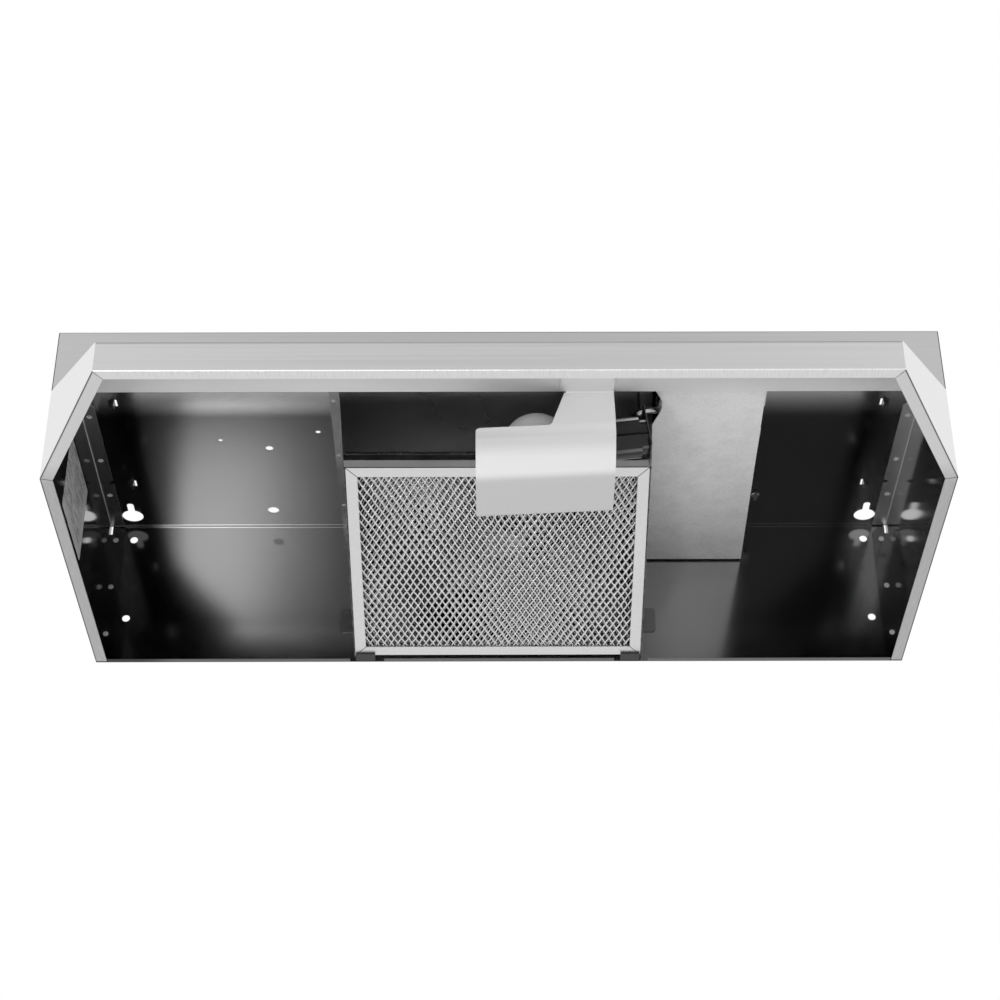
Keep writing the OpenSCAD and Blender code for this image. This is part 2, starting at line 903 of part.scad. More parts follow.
function cr(a, b, c, d, u) = 0.5 * (2 * b + (c - a) * u + (2 * a - 5 * b + 4 * c - d) * u * u
    + (3 * b - a - 3 * c + d) * u * u * u);
function smooth(p, k) = let (n = len(p)) concat([for (i = [0:n - 2], j = [0:k - 1])
    cr(p[max(i - 1, 0)], p[i], p[i + 1], p[min(i + 2, n - 1)], j / k)], [p[n - 1]]);
function tan_at(p, i) = unit(p[min(i + 1, len(p) - 1)] - p[max(i - 1, 0)]);
function frames(p, i, u) = i >= len(p) ? [] :
    let (g = tan_at(p, i), w = unit(u - (u * g) * g)) concat([[w, cross(g, w)]], frames(p, i + 1, w));
module lead(p, r, n = 8) {
    q = smooth(p, 6);
    f = frames(q, 0, [0.1, 0.2, 1]);
    m = len(q);
    polyhedron(
        points = [for (i = [0:m - 1], j = [0:n - 1]) q[i] + r * (f[i][0] * cos(360 * j / n) + f[i][1] * sin(360 * j / n))],
        faces = concat([[for (j = [0:n - 1]) j]], [[for (j = [n - 1:-1:0]) (m - 1) * n + j]],
            [for (i = [0:m - 2], j = [0:n - 1]) [i * n + j, (i + 1) * n + j, (i + 1) * n + (j + 1) % n,
                i * n + (j + 1) % n]]));
}

// jacketed cable from the lamp socket over the cover's notch to the light switch and the neutral splice
module lamp_lead() {
    color("black")
        rim() {
            lead([[112, -268, 71.5], [112.5, -264, 79], [114.5, -261, 89], [118, -260.5, 97.5], [124, -261, 101.4],
                [131, -261.5, 102.6], [136.2, -260, 104], [139.4, -256, 109], [140.2, -250.5, 117], [140.5, -246, 125],
                [144, -240, 132], [151, -236.5, 136.5], [160, -236, 137.5]], 2.9, 12);
            lead([[160, -237.3, 137.5], [168, -244, 138], [172, -262, 136], [170, -277, 131], [168, -284.5, 129]], 1.2);
            lead([[160, -234.7, 137.5], [168, -222, 138.5], [175, -180, 137.5], [181, -140, 134.5], [182, -126, 133.2],
                [182, -121.5, 133]], 1.2);
        }
}

// hole in the chamber's right wall for the motor lead
lead_h = 126;

module motor_lead() {
    color("black")
        rim() {
            lead([[-48, -112.5, 91.4], [-36, -112.5, 91.4], [-28, -110, 90.6], [-23, -98, 88], [-14, -88.5, 87],
                [0, -86.6, 87], [24, -86.6, 87], [70, -98, 86], [106, -134, 86], [120, -147.5, 89.5], [123.9, -150, 95],
                [124.2, -150.3, 104], [125, -151, 116], [129, -152, 124.6], [134, -152, lead_h], [139, -152, lead_h],
                [146, -152, lead_h + 0.6], [156, -168, 131], [180, -214, 137], [198, -254, 136], [206, -277, 131],
                [206, -284.5, 129]], 1.8);
        }
}

module supply_leads() {
    color("white")
        rim() {
            lead([[190, -58, cei - 1], [190, -62, 142], [186, -80, 134], [183, -96, 133], [182, -108, 133]], 1.6);
            lead([[194, -58, cei - 1], [194, -64, 142], [198, -80, 134], [200, -96, 133], [200, -108, 133]], 1.6);
        }
}

module lead_grommet() {
    color("black")
        rim()
            translate([wall_x(lead_h, chamber_top_r) + chamber_dx, -152, lead_h])
                rotate([0, 90, 0])
                    difference() {
                        union() {
                            translate([0, 0, -1.6]) cylinder(r = 4.2, h = 3.2);
                            translate([0, 0, -2.5]) cylinder(r = 5.5, h = 1.6);
                        }
                        translate([0, 0, -5]) cylinder(r = 2.3, h = 10);
                    }
}

top_panel();
back_panel();
front_fascia();
visor();
side_panel_left();
side_panel_right();
spot_welds();
ceiling_tabs();
chamber_front();
chamber_side_left();
chamber_side_right();
filter_ledge();
filter_clips();
filter_frame();
filter_mesh();
orifice_plate();
motor_strap();
strap_screws();
motor_stator();
motor_coil();
motor_brackets();
motor_bushes();
motor_bolts();
motor_rotor();
motor_shaft();
fan_blade();
duct_connector();
damper_flap();
damper_pin();
connector_screws();
wiring_cover();
wiring_divider();
cover_screws();
cable_knockout();
ground_screw();
wire_nuts();
light_switch_housing();
fan_switch_housing();
light_rocker();
fan_rocker();
lamp_socket();
socket_shell();
socket_contact();
socket_bracket();
bulb_glass();
bulb_base();
light_lens();
rating_label();
lamp_lead();
motor_lead();
supply_leads();
lead_grommet();
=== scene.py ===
import math
import random

import bpy
from mathutils import Vector, Matrix


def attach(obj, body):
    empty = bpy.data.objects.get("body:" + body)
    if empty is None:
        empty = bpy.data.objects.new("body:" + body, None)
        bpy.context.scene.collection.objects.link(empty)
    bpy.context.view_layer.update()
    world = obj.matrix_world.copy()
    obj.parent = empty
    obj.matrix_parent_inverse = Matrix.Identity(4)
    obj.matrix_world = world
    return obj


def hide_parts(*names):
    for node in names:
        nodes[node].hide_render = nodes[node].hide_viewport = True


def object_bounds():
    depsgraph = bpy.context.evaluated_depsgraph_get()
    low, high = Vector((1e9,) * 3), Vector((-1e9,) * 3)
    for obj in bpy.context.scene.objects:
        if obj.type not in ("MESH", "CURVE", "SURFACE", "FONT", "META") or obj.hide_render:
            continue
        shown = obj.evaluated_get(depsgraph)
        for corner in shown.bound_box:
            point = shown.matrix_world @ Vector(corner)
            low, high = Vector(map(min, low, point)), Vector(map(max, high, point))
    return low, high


# The hood in metres: x to its right, y 0 at the wall and negative towards the room, z 0 at the
# top of the ceiling sheet and -H at the rim.

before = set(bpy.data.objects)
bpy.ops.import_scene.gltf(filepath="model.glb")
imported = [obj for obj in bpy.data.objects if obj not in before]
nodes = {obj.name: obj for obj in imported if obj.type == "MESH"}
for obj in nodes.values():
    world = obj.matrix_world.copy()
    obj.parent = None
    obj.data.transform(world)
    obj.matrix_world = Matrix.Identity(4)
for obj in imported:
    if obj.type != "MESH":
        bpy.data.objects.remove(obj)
before = [list(v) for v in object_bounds()]

HALF_W = round(before[1][0], 4)
DEPTH = round(-before[0][1], 4)
H = round(-before[0][2], 4)
MITRE = Vector((0.0659, 0.1485))  # how far each front corner is cut back in x and y

FILTER_W, FILTER_L = 0.2667, 0.22225
FILTER_AT = Vector((-0.0012, -0.0107, 0.0013 - H))  # middle of the filter's rear lower edge
TILT = math.radians(17.8)
FILTER = Matrix.Translation(FILTER_AT) @ Matrix.Rotation(-TILT, 4, "X")

ALONG_X, ALONG_Y = (3, 900, 900), (900, 3, 900)  # noise scales of the brushed grain
OUT_ROUGH = 0.34


# ---- node trees ------------------------------------------------------------

class Tree:
    """A node tree built with short calls. A number or a node's output can go into any socket."""

    def __init__(self, tree):
        self.tree = tree

    def put(self, socket, v):
        if isinstance(v, bpy.types.NodeSocket):
            self.tree.links.new(v, socket)
        else:
            socket.default_value = v

    def node(self, kind, *values, **settings):
        """A node with these settings, and these values in its first sockets."""
        n = self.tree.nodes.new("ShaderNode" + kind)
        for k, v in settings.items():
            setattr(n, k, v)
        for socket, v in zip(n.inputs, values):
            self.put(socket, v)
        return n

    def math(self, op, a, b=0.0):
        return self.node("Math", a, b, operation=op).outputs[0]

    def ramp(self, v, lo, hi, a=0.0, b=1.0, smooth=False):
        """v between lo and hi becomes a to b, held at the ends."""
        curve = "SMOOTHSTEP" if smooth else "LINEAR"
        n = self.node("MapRange", v, lo, hi, a, b, clamp=True, interpolation_type=curve)
        return n.outputs[0]


class Surface(Tree):
    """A material with one Principled shader."""

    def __init__(self, name, base, rough, metal=0.0, **more):
        self.mat = bpy.data.materials.new(name)
        self.mat.use_nodes = True
        super().__init__(self.mat.node_tree)
        self.bsdf = next(n for n in self.tree.nodes if n.type == "BSDF_PRINCIPLED")
        self.place = self.node("TexCoord").outputs
        even = {"Base Color": base, "Roughness": rough, "Metallic": metal, **more}
        for k, v in even.items():
            self.bsdf.inputs[k].default_value = v

    def paint(self, colour=None, rough=None, metal=None):
        """Drives the shader's sockets and gives the finished material."""
        for k, v in (("Base Color", colour), ("Roughness", rough), ("Metallic", metal)):
            if v is not None:
                self.put(self.bsdf.inputs[k], v)
        return self.mat

    def noise(self, scale, size=1.0, detail=2.0, rough=0.5):
        if isinstance(scale, (int, float)):
            scale = (scale,) * 3
        m = self.node("Mapping", self.place["Object"])
        m.inputs["Scale"].default_value = scale
        n = self.node("TexNoise", m.outputs[0])
        n.inputs["Scale"].default_value = size
        n.inputs["Detail"].default_value = detail
        n.inputs["Roughness"].default_value = rough
        return n.outputs["Fac"]

    def toward(self, d):
        """Cosine between a face's direction and d, in the piece's frame at rest."""
        n = self.node("VectorMath", self.place["Normal"], operation="DOT_PRODUCT")
        n.inputs[1].default_value = Vector(d).normalized()
        return n.outputs["Value"]

    def facing(self, d, least):
        """1 on faces whose cosine with d is over that least value."""
        return self.math("GREATER_THAN", self.toward(d), least)

    def at(self, axis):
        """The place along an axis, "x", "y" or "z"."""
        return self.node("SeparateXYZ", self.place["Object"]).outputs["xyz".index(axis)]

    def mix(self, f, a, b):
        """Colour a where f is 0, b where it is 1."""
        n = self.node("Mix", f, data_type="RGBA")
        self.put(n.inputs[6], a)
        self.put(n.inputs[7], b)
        return n.outputs[2]

    def lerp(self, f, a, b):
        """Number a where f is 0, b where it is 1."""
        n = self.node("Mix", f, data_type="FLOAT")
        self.put(n.inputs[2], a)
        self.put(n.inputs[3], b)
        return n.outputs[0]

    def bump(self, height, strength, distance):
        n = self.node("Bump")
        n.inputs["Strength"].default_value = strength
        n.inputs["Distance"].default_value = distance
        self.put(n.inputs["Height"], height)
        self.put(self.bsdf.inputs["Normal"], n.outputs[0])


def grey(v):
    return (v, v, v, 1.0)


def plain(name, base, rough, metal=0.0, spread=0.06, size=60.0, **more):
    """One colour with a faint unevenness in colour and roughness."""
    base = base if isinstance(base, tuple) else grey(base)
    m = Surface(name, base, rough, metal, **more)
    n = m.noise(1, size, 3.0)
    dark = tuple(c * (1 - spread) for c in base[:3]) + (1.0,)
    return m.paint(m.mix(n, dark, base),
                   m.ramp(n, 0.2, 0.8, max(0.02, rough - 0.04), min(1, rough + 0.04)))


# ---- stainless steel of the body -------------------------------------------

def left_painted_shade(m, inner):
    """Painted shade: the inside falls dark towards the left end."""
    return m.mix(m.ramp(m.at("x"), -0.336, -0.3, 0.35, 1.0, True), grey(0.0), inner)


def ceiling_inside(m, inner):
    """A painted paler band of light along the front, and the painted shadow line of the fold at
    the back.
    """
    inner = m.mix(m.ramp(m.at("y"), -0.182, -0.2075, 0.0, 1.0, True), left_painted_shade(m, inner),
                  grey(0.36))
    return m.mix(m.math("GREATER_THAN", m.at("y"), -0.0026), inner, grey(0.004))


def back_inside(m, inner):
    """The painted highlight of the fold, a bright line along the top, and the painted shade of the
    left end.
    """
    return m.mix(m.math("GREATER_THAN", m.at("z"), -0.0026), left_painted_shade(m, inner), grey(0.6))


def visor_inside(m, inner):
    """Painted light up the slope, painted shade on the lip's inner face."""
    inner = m.mix(m.ramp(m.at("z"), -0.08, -0.063), inner, grey(1.0))
    return m.mix(m.facing((0, 1, 0), 0.85), inner, grey(0.06))


def hem(m, tone):
    """Fine streaks across a hem."""
    streak = m.noise((900, 60, 60), 1.0, 3.0, 0.7)
    return m.mix(m.ramp(streak, 0.3, 0.7), grey(tone * 0.9), grey(tone * 1.08))


def visor_hem(m):
    return hem(m, 0.98)


def side_hem(m):
    """Painted light and shade: the hem is darker along the side and paler along the mitre, with a
    painted shadow line along its outer edge.
    """
    side = m.math("SUBTRACT", HALF_W, m.math("ABSOLUTE", m.at("x")))
    way = MITRE.normalized()
    slant = m.math("ADD", m.math("MULTIPLY", side, way.y),
                   m.math("MULTIPLY", m.math("ADD", m.at("y"), DEPTH - MITRE.y), way.x))
    colour = m.mix(m.ramp(m.at("y"), -0.30, -0.33), hem(m, 0.62), grey(0.86))
    # Painted shadow line along the hem's outer edge, where it bends from the wall.
    seam_shadow = m.ramp(m.math("MINIMUM", side, slant), 0.0005, 0.0013, 0.12, 1.0)
    return m.mix(seam_shadow, grey(0.02), colour)


def flange_painted_light(m, colour, rough, out_dir, shelf_painted_light, back_painted_shade):
    """Painted light and shade on the side panel's two welded flanges, and a painted highlight on
    the crease between wall and top flange.
    """
    shelf = m.math("MULTIPLY", m.math("GREATER_THAN", m.at("z"), -0.0025),
                   m.facing((0, 0, -1), 0.6))
    wall = m.facing(tuple(-v for v in out_dir), 0.6)
    outmost = m.math("GREATER_THAN", m.math("ABSOLUTE", m.at("x")), HALF_W - 0.0015)
    crease = m.math("MAXIMUM", m.math("MULTIPLY", shelf, outmost),
                    m.math("MULTIPLY", wall, m.math("GREATER_THAN", m.at("z"), -0.0028)))
    back = m.math("MULTIPLY", m.facing((0, -1, 0), 0.9),
                  m.math("GREATER_THAN", m.at("y"), -0.01))
    colour = m.mix(shelf, m.mix(back, colour, grey(back_painted_shade)), grey(shelf_painted_light))
    return m.mix(crease, colour, grey(0.75)), m.lerp(crease, m.lerp(shelf, rough, 0.3), 0.6)


def stainless(name, out_dirs, out=0.62, inn=0.115, in_rough=0.13, in_metal=1.0, grain=ALONG_X,
              inside=None, under=None, flanges=None):
    """Brushed outside, darker and glossier inside, told apart by the way a face points.

    inside: paints light and shade into the inside's colour. under: gives the colour of the hem at
    the rim, with painted light and shade on the side panels.
    flanges: painted light and shade of a side panel's flanges, under the ceiling and on the back
    panel.
    """
    m = Surface(name, grey(out), OUT_ROUGH, 1.0)
    lines = m.noise(grain, 1.0, 3.0, 0.6)
    cloud = m.noise(5, 1.0, 2.0)
    outside = m.facing(out_dirs[0], 0.6)
    for d in out_dirs[1:]:
        outside = m.math("MAXIMUM", outside, m.facing(d, 0.6))
    inner = m.mix(m.ramp(cloud, 0.3, 0.7), grey(inn * 0.94), grey(inn * 1.06))
    if inside:
        inner = inside(m, inner)
    outer = m.mix(m.ramp(lines, 0.3, 0.7), grey(out * 0.95), grey(out * 1.04))
    colour = m.mix(outside, inner, outer)
    if under:
        low = m.math("LESS_THAN", m.at("z"), 0.001 - H)
        colour = m.mix(low, colour, under(m))
        outside = m.math("MAXIMUM", outside, low)
    rough = m.lerp(outside, m.ramp(cloud, 0.3, 0.7, in_rough * 0.85, in_rough * 1.15),
                   m.ramp(lines, 0.3, 0.7, OUT_ROUGH - 0.04, OUT_ROUGH + 0.05))
    if flanges:
        colour, rough = flange_painted_light(m, colour, rough, out_dirs[0], *flanges)
    fine = m.noise(tuple(2.5 * s for s in grain), 1.0, 2.0, 0.5)
    m.bump(m.math("MULTIPLY", fine, outside), 0.1, 0.0002)
    return m.paint(colour, rough, m.lerp(outside, in_metal, 1.0) if in_metal < 1.0 else None)


# ---- other sheet metal -----------------------------------------------------

def galvanised():
    """Pale zinc with soft spangle, smoother towards the hood's front, where it turns from metal to
    pale diffuse colour as painted light.
    """
    m = Surface("galvanised", grey(0.95), 0.45, 0.85)
    front = m.ramp(m.at("y"), -0.16, -0.27, 0.0, 1.0, True)
    n = m.math("ADD", m.math("MULTIPLY", m.noise(60, 1.0, 3.0, 0.6), 0.5),
               m.math("MULTIPLY", m.noise(420, 1.0, 2.0, 0.6), 0.5))
    m.bump(m.math("MULTIPLY", n, m.lerp(front, 1.0, 0.0)), 0.06, 0.0003)
    return m.paint(m.mix(m.ramp(n, 0.35, 0.65), grey(0.86), grey(1.0)),
                   m.math("ADD", m.lerp(front, 0.56, 0.34), m.ramp(n, 0.3, 0.7, -0.03, 0.04)),
                   m.lerp(front, 0.85, 0.0))


def front_sheet():
    """The chamber's front wall, with painted light: brighter towards the lamp and its lower edge.
    """
    m = Surface("chamber_front_sheet", grey(0.5), 0.3, 1.0)
    n = m.noise(6)
    light = m.math("MULTIPLY", m.ramp(m.at("x"), -0.13, 0.0, 0.3, 0.9),
                   m.ramp(m.at("z"), -0.004, -0.066, 0.35, 1.6))
    return m.paint(m.mix(light, grey(0.0), m.mix(n, grey(0.8), grey(1.0))),
                   m.ramp(n, 0.3, 0.7, 0.26, 0.34))


def housing():
    """Dark mirror sheet of the fan housing, with streaks along its length."""
    m = Surface("housing_sheet", grey(0.14), 0.16, 1.0)
    n = m.noise((4, 4, 700), 1.0, 3.0, 0.7)
    streaks = m.mix(m.ramp(n, 0.42, 0.62), grey(0.08), grey(0.26))
    return m.paint(m.mix(m.facing((0, -1, 0), 0.9), streaks, grey(0.13)),
                   m.ramp(n, 0.3, 0.7, 0.12, 0.2))


def ledge():
    """Folded ledge in painted light and shade, one band over the other: a pale foot, a dark corner
    in painted shade, a painted bright band and a dark top edge in painted shadow.
    """
    m = Surface("ledge_sheet", grey(0.24), 0.25, 1.0)
    n = m.noise(40)
    over_rim = m.math("ADD", m.at("z"), H)
    leg = m.mix(m.ramp(over_rim, 0.0808, 0.0816), grey(0.04), grey(0.5))
    leg = m.mix(m.ramp(over_rim, 0.0834, 0.0838), leg, grey(0.02))
    foot = m.mix(n, grey(0.22), grey(0.34))
    return m.paint(m.mix(m.ramp(over_rim, 0.0774, 0.078), foot, leg),
                   m.ramp(n, 0.3, 0.7, 0.2, 0.3))


def weld():
    """Crinkled spot welds, coloured near white as a painted glint where they catch the light."""
    m = Surface("weld", grey(1.0), 0.3)
    n = m.noise(1, 650.0, 2.0)
    m.bump(n, 1.0, 0.004)
    return m.paint(m.mix(m.ramp(n, 0.35, 0.65), grey(0.8), grey(1.0)),
                   m.ramp(n, 0.3, 0.7, 0.3, 0.5))


# ---- filter ----------------------------------------------------------------

def frame_metal():
    """Satin aluminium with the thin dark lines of the mitred corners."""
    m = Surface("filter_frame_aluminium", grey(0.97), 0.42, 1.0)
    n = m.noise(900)
    along = m.math("SUBTRACT",
                   m.math("MULTIPLY", m.math("ADD", m.at("y"), -FILTER_AT.y), math.cos(TILT)),
                   m.math("MULTIPLY", m.math("ADD", m.at("z"), -FILTER_AT.z), math.sin(TILT)))
    across = m.math("ABSOLUTE", m.math("ADD", m.at("x"), -FILTER_AT.x))
    from_side = m.math("SUBTRACT", FILTER_W / 2, across)
    from_end = m.math("SUBTRACT", FILTER_L / 2,
                      m.math("ABSOLUTE", m.math("ADD", along, FILTER_L / 2)))
    off_line = m.math("ABSOLUTE", m.math("SUBTRACT", from_side, from_end))
    satin = m.mix(m.ramp(n, 0.3, 0.7), grey(0.9), grey(0.97))
    return m.paint(m.mix(m.ramp(off_line, 0.0003, 0.0007), grey(0.2), satin),
                   m.ramp(n, 0.3, 0.7, 0.38, 0.46))


def strand_metal():
    """Aluminium strands with painted shade, darker the deeper they lie in the pack."""
    m = Surface("expanded_aluminium", grey(0.85), 0.3, 1.0)
    n = m.noise(1, 700.0, 2.0)
    deep = m.math("ADD",
                  m.math("MULTIPLY", m.math("ADD", m.at("y"), -FILTER_AT.y), math.sin(TILT)),
                  m.math("MULTIPLY", m.math("ADD", m.at("z"), -FILTER_AT.z), math.cos(TILT)))
    light = m.math("MULTIPLY", m.ramp(deep, 0.0026, 0.0064, 1.0, 0.08),
                   m.ramp(n, 0.35, 0.55, 0.75, 1.0))
    m.bump(n, 0.6, 0.0008)
    return m.paint(m.mix(light, grey(0.015), grey(1.0)), m.ramp(n, 0.3, 0.7, 0.2, 0.4))


# ---- plastic and film ------------------------------------------------------

def painted_sheen(name, base, rough, bands):
    """Glossy black with painted highlights: paler tones painted on faces that point along the
    given directions.

    bands: (direction, cosine where the painted highlight starts, cosine where it is full, its
    tone).
    """
    m = Surface(name, grey(base), rough)
    n = m.noise(1, 60.0, 3.0)
    colour = m.mix(n, grey(base * 0.9), grey(base * 1.1))
    for d, lo, hi, tone in bands:
        colour = m.mix(m.ramp(m.toward(d), lo, hi, 0.0, 1.0, True), colour, grey(tone))
    return m.paint(colour, m.ramp(n, 0.2, 0.8, rough - 0.02, rough + 0.02))


def label():
    """Pale film with a mottled, blank printed field, no lettering."""
    m = Surface("label_film", grey(0.6), 0.4, 0.2)
    n = m.noise(1, 420.0, 3.0, 0.8)
    rows = m.noise((1, 60, 420), 1.0, 2.0, 0.6)
    field = m.math("MULTIPLY", m.ramp(m.at("y"), -0.139, -0.143),
                   m.ramp(m.at("z"), -0.112, -0.108))
    ink = m.math("MULTIPLY", m.math("MULTIPLY", field, m.ramp(rows, 0.5, 0.56)),
                 m.ramp(n, 0.35, 0.5))
    film = m.mix(m.ramp(n, 0.35, 0.65), grey(0.7), grey(1.0))
    return m.paint(m.mix(m.math("MULTIPLY", ink, 0.5), film, grey(0.05)),
                   m.ramp(n, 0.3, 0.7, 0.35, 0.5))


def lens_plastic():
    """White moulded plastic with painted light: a paler arm, a painted highlight on the bend, and
    the foot's tone painted for the visor's shade.
    """
    m = Surface("lens_plastic", grey(0.66), 0.24)
    n = m.noise(8)
    arm = m.ramp(m.at("z"), -0.129, -0.108, 0.0, 1.0, True)
    tone = m.mix(arm, m.mix(n, grey(0.65), grey(0.67)), grey(1.0))
    bend = m.math("MULTIPLY", m.ramp(m.at("y"), -0.328, -0.314, 0.0, 1.0, True),
                  m.ramp(m.at("y"), -0.304, -0.294, 1.0, 0.0, True))
    bend = m.math("MULTIPLY", bend, m.ramp(m.at("z"), -0.115, -0.123))
    foot = m.math("MULTIPLY", m.facing((0, 0, -1), 0.8), m.ramp(m.at("z"), -0.1, -0.09))
    return m.paint(m.mix(foot, m.mix(bend, tone, grey(0.95)), grey(0.82)),
                   m.ramp(n, 0.3, 0.7, 0.22, 0.27))


# ---- who wears what --------------------------------------------------------

# The outside is one brushed steel and the inside one dark finish; their tones differ from panel to
# panel as painted light and shade: paler outside on the side panels and visor, darker on the
# fascia, darker inside on the ceiling and paler inside on the back panel.
SIDE = dict(out=0.79, in_rough=0.1, grain=ALONG_Y, under=side_hem)
WEARS = (
    (stainless("ceiling", [(0, 0, 1)], inn=0.075, inside=ceiling_inside), "top_panel"),
    (stainless("back", [(0, 1, 0)], inn=0.19, inside=back_inside), "back_panel"),
    (stainless("fascia", [(0, -1, 0)], out=0.56), "front_fascia"),
    (stainless("visor", [(0, -1, 0), (0, -0.38, 0.92)], out=0.66, inn=0.88, in_rough=0.5,
               in_metal=0.12, inside=visor_inside, under=visor_hem), "visor"),
    (stainless("side_left", [(-1, 0, 0)], flanges=(0.32, 0.04), **SIDE), "side_panel_left"),
    (stainless("side_right", [(1, 0, 0)], flanges=(0.7, 0.1), **SIDE), "side_panel_right"),
    (plain("inner_sheet", 0.3, 0.2, 1.0), "ceiling_tabs cable_knockout"),
    (weld(), "spot_welds"),
    (front_sheet(), "chamber_front"),
    (housing(), "chamber_side_left chamber_side_right orifice_plate motor_strap wiring_divider"),
    (ledge(), "filter_ledge"),
    (galvanised(), "wiring_cover duct_connector damper_flap"),
    (plain("bracket_sheet", 0.12, 0.25, 1.0), "socket_bracket"),
    (frame_metal(), "filter_frame"),
    (strand_metal(), "filter_mesh"),
    (plain("zinc", 0.55, 0.35, 0.9),
     "strap_screws motor_bolts connector_screws cover_screws damper_pin motor_brackets"),
    (plain("dark_clip", 0.03, 0.45), "filter_clips"),
    (plain("laminations", 0.08, 0.5, 0.6), "motor_stator motor_rotor"),
    (plain("ground_steel", 0.6, 0.22, 1.0), "motor_shaft"),
    (plain("fan_aluminium", 0.6, 0.35, 0.9), "fan_blade"),
    (plain("coil_tape", 0.06, 0.6), "motor_coil"),
    (plain("bronze", (0.6, 0.42, 0.18, 1), 0.35, 0.9), "motor_bushes socket_shell socket_contact"),
    (plain("black_plastic", 0.006, 0.1),
     "light_switch_housing fan_switch_housing light_rocker fan_rocker"),
    # Painted highlights: a pale line and a grey band on the lamp socket, a bright streak on the
    # lamp lead.
    (painted_sheen("socket_plastic", 0.006, 0.1, [((0, -0.87, 0.45), 0.985, 0.998, 0.95),
                                          ((0, -0.3, -0.954), 0.985, 0.99, 0.13)]),
     "lamp_socket"),
    (painted_sheen("cable_jacket", 0.01, 0.14, [((-0.1, -0.7, -0.7), 0.8, 0.93, 1.0)]), "lamp_lead"),
    (plain("black_insulation", 0.01, 0.16), "motor_lead lead_grommet"),
    (plain("white_insulation", 0.75, 0.4), "supply_leads"),
    (plain("wire_nut", (0.75, 0.38, 0.03, 1), 0.4), "wire_nuts"),
    (plain("ground_green", (0.02, 0.2, 0.06, 1), 0.4), "ground_screw"),
    (plain("frosted_glass", 0.8, 0.35, **{"Transmission Weight": 0.3}), "bulb_glass"),
    (plain("bulb_cap", 0.7, 0.3, 1.0), "bulb_base"),
    (lens_plastic(), "light_lens"),
    (label(), "rating_label"),
)
for mat, names in WEARS:
    for name in names.split():
        worn = nodes[name].data.materials
        worn.clear()
        worn.append(mat)


# ---- expanded metal of the filter ------------------------------------------

MESH_X, MESH_Y = (-0.1285, 0.1285), (-0.2162, -0.0058)  # room inside the frame's channel
PITCH_X, PITCH_Y = 0.00645, 0.0116                      # one diamond of the lowest layer
GROW_X, GROW_Y = 0.00022, 0.0004                        # how much coarser each next layer is
STRAND_W, STRAND_T = 0.0011, 0.0004
TWIST = 0.8                                             # radians a strand leans out of the layer
LAYERS = ((0.0022, 0, 0), (0.0036, 0.0013, 0.0021), (0.0056, 0.0007, 0.0042))  # height, shift x, y
FIRST_SEED = 7


def bonds(z, px, py, dx, dy, rnd):
    """The points of a layer where strands meet, a little uneven."""
    points = {}
    across = int((MESH_X[1] - MESH_X[0]) / px) + 2
    rows = int((MESH_Y[1] - MESH_Y[0]) / (py / 2)) + 2
    for j in range(rows + 1):
        for i in range(across + 1):
            x = MESH_X[0] + dx + (i + 0.5 * (j % 2)) * px + rnd.uniform(-0.07, 0.07) * px
            y = MESH_Y[0] + dy + j * py / 2 + rnd.uniform(-0.035, 0.035) * py
            points[i, j] = Vector((x, y, z + rnd.uniform(-0.0002, 0.0002)))
    return points


def inside_channel(p):
    return MESH_X[0] < p.x < MESH_X[1] and MESH_Y[0] < p.y < MESH_Y[1]


def strand(a, b, lean):
    """The eight corners of one flat strand from a to b."""
    d = (b - a).normalized()
    level = Vector((d.y, -d.x, 0))
    w = (level * math.cos(lean) + Vector((0, 0, 1)) * math.sin(lean)) * STRAND_W / 2
    t = d.cross(w).normalized() * STRAND_T / 2
    ends = (a - d * STRAND_W * 0.3, b + d * STRAND_W * 0.3)
    return [FILTER @ (p + w * u + t * v) for p in ends
            for u, v in ((1, 1), (1, -1), (-1, -1), (-1, 1))]


def box_faces(f):
    """The six faces of a strand whose corners start at index f."""
    return [(f, f + 1, f + 5, f + 4), (f + 1, f + 2, f + 6, f + 5), (f + 2, f + 3, f + 7, f + 6),
            (f + 3, f, f + 4, f + 7), (f + 3, f + 2, f + 1, f), (f + 4, f + 5, f + 6, f + 7)]


def expanded_pack():
    """Layers of expanded metal whose diamonds drift apart, so the holes line up in places."""
    verts, faces = [], []
    for k, (z, dx, dy) in enumerate(LAYERS):
        points = bonds(z, PITCH_X + GROW_X * k, PITCH_Y + GROW_Y * k, dx, dy,
                       random.Random(FIRST_SEED + k))
        for (i, j), a in points.items():
            for side in (0, 1):
                b = points.get((i + side - (0 if j % 2 else 1), j + 1))
                if b and inside_channel(a) and inside_channel(b):
                    faces += box_faces(len(verts))
                    verts += strand(a, b, TWIST if side else -TWIST)
    return verts, faces


verts, faces = expanded_pack()
pack_mesh = bpy.data.meshes.new("expanded_mesh")
pack_mesh.from_pydata([tuple(v) for v in verts], [], faces)
pack_mesh.update()
pack_mesh.materials.append(nodes["filter_mesh"].data.materials[0])
filter_pack = bpy.data.objects.new("expanded_mesh", pack_mesh)
bpy.context.scene.collection.objects.link(filter_pack)
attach(filter_pack, "filter")
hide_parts("filter_mesh")


# ---- edges and smooth faces ------------------------------------------------

def edge(name, width, segments=2, angle=40):
    b = nodes[name].modifiers.new("edge", "BEVEL")
    b.width, b.segments, b.limit_method = width, segments, "ANGLE"
    b.angle_limit = math.radians(angle)
    b.harden_normals = True


for name in ("wiring_cover", "filter_frame", "lamp_socket"):
    edge(name, 0.0003)
edge("light_lens", 0.0006, 3, 30)
for name in ("bulb_glass", "bulb_base", "lamp_socket", "lamp_lead", "motor_lead", "supply_leads",
             "visor", "light_lens"):
    polygons = nodes[name].data.polygons
    polygons.foreach_set("use_smooth", [True] * len(polygons))


# ---- room and light --------------------------------------------------------

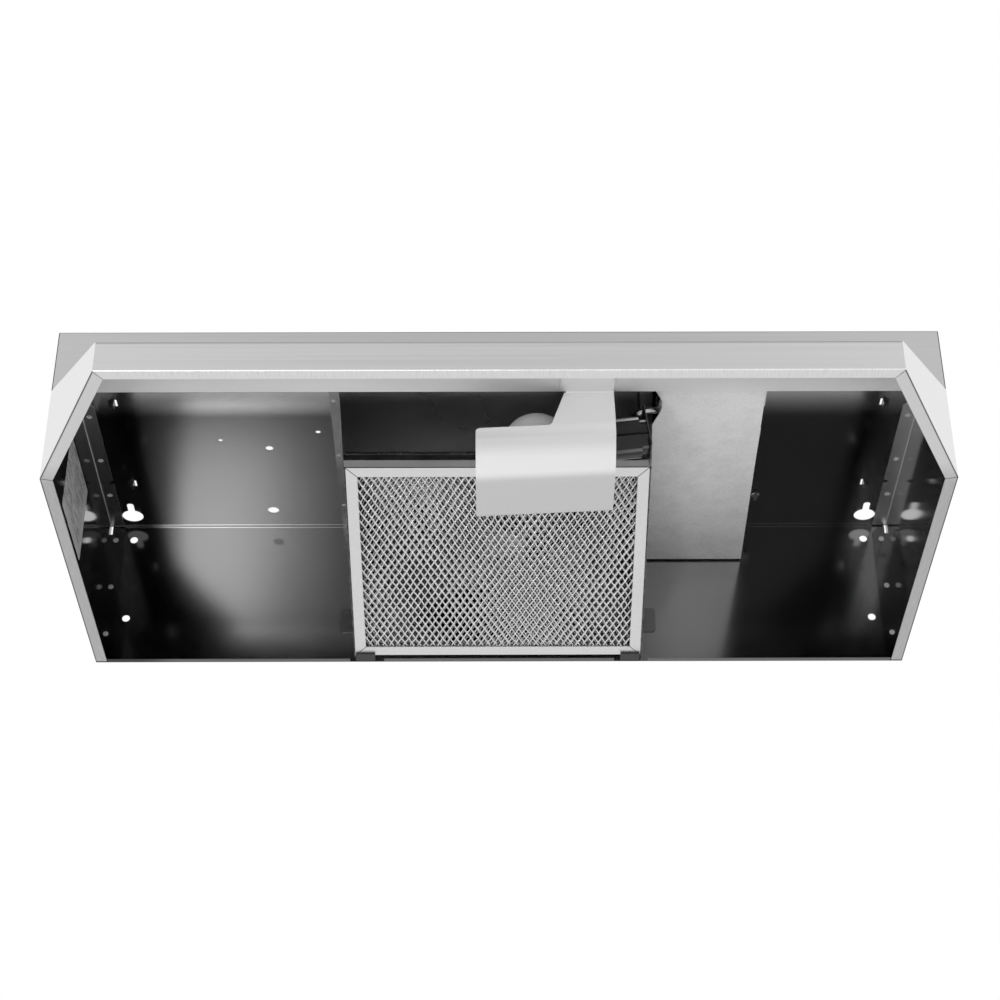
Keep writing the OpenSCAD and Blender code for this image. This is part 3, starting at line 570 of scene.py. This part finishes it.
FLOOR_HALF, FLOOR_Z = 20.0, -2.9
BOX_Y, BOX_Z = -1.85, -1.18  # where the soft boxes stand, beside the camera


def floor():
    s = FLOOR_HALF
    me = bpy.data.meshes.new("floor")
    me.from_pydata([(-s, -s, FLOOR_Z), (s, -s, FLOOR_Z), (s, s, FLOOR_Z), (-s, s, FLOOR_Z)], [],
                   [(0, 1, 2, 3)])
    me.materials.append(plain("floor", 0.8, 0.9))
    o = bpy.data.objects.new("floor", me)
    bpy.context.scene.collection.objects.link(o)


def softbox(name, x, wide, high, glow):
    """A soft light beside the camera, turned to the hood; glow is its radiance."""
    light = bpy.data.lights.new(name, "AREA")
    light.shape = "RECTANGLE"
    light.size, light.size_y = wide, high
    light.energy = glow * math.pi * wide * high
    o = bpy.data.objects.new(name, light)
    at, to = Vector((x, BOX_Y, BOX_Z)), Vector((x / 3, -0.15, -0.05))
    o.location = at
    o.rotation_mode = "QUATERNION"
    o.rotation_quaternion = (to - at).to_track_quat("-Z", "Y")
    o.visible_camera = False
    bpy.context.scene.collection.objects.link(o)


def studio():
    """A white room, a little darker overhead and high up behind the camera."""
    world = bpy.data.worlds.new("studio")
    bpy.context.scene.world = world
    world.use_nodes = True
    sky = Tree(world.node_tree)
    x, y, z = sky.node("SeparateXYZ", sky.node("TexCoord").outputs["Generated"]).outputs
    overhead = sky.ramp(z, 0.78, 0.9, 1.0, 0.45, True)
    middle = sky.ramp(sky.math("ABSOLUTE", x), 0.0, 0.24, 0.42, -0.06, True)
    high_behind = sky.math("MULTIPLY", sky.ramp(y, -0.7, -0.5, 1.0, 0.0, True),
                           sky.ramp(z, 0.2, 0.4, 0.0, 1.0, True))
    light = sky.math("SUBTRACT", 1.0, sky.math("MULTIPLY", middle, high_behind))
    background = next(n for n in sky.tree.nodes if n.type == "BACKGROUND")
    sky.put(background.inputs["Color"], sky.math("MULTIPLY", overhead, light))
    background.inputs["Strength"].default_value = 1.0


floor()
softbox("soft_left", -0.555, 0.22, 0.4, 26)
softbox("soft_left_edge", -0.38, 0.13, 0.4, 6)
softbox("soft_middle", 0.06, 0.22, 0.26, 6)
studio()
bpy.context.scene.view_settings.view_transform = "Standard"


# ---- camera ----------------------------------------------------------------

EYE = Vector((-0.0028, -1.8306, -1.0258 - H))
PITCH, YAW, ROLL = math.radians(33.42), math.radians(0.13), math.radians(-0.189)


def photo_camera():
    """Looks up at the hood from in front and below, as in the photo."""
    lens = bpy.data.cameras.new("camera")
    lens.sensor_width, lens.lens = 36.0, 80.0
    lens.clip_start, lens.clip_end = 0.05, 80.0
    o = bpy.data.objects.new("camera", lens)
    bpy.context.scene.collection.objects.link(o)
    look = Vector((math.sin(YAW) * math.cos(PITCH), math.cos(YAW) * math.cos(PITCH),
                   math.sin(PITCH)))
    level = Vector((math.cos(YAW), -math.sin(YAW), 0))
    upright = level.cross(look)
    right = level * math.cos(ROLL) + upright * math.sin(ROLL)
    up = upright * math.cos(ROLL) - level * math.sin(ROLL)
    rows = [(right[i], up[i], -look[i], EYE[i]) for i in range(3)]
    o.matrix_world = Matrix((*rows, (0, 0, 0, 1)))
    bpy.context.scene.camera = o


photo_camera()
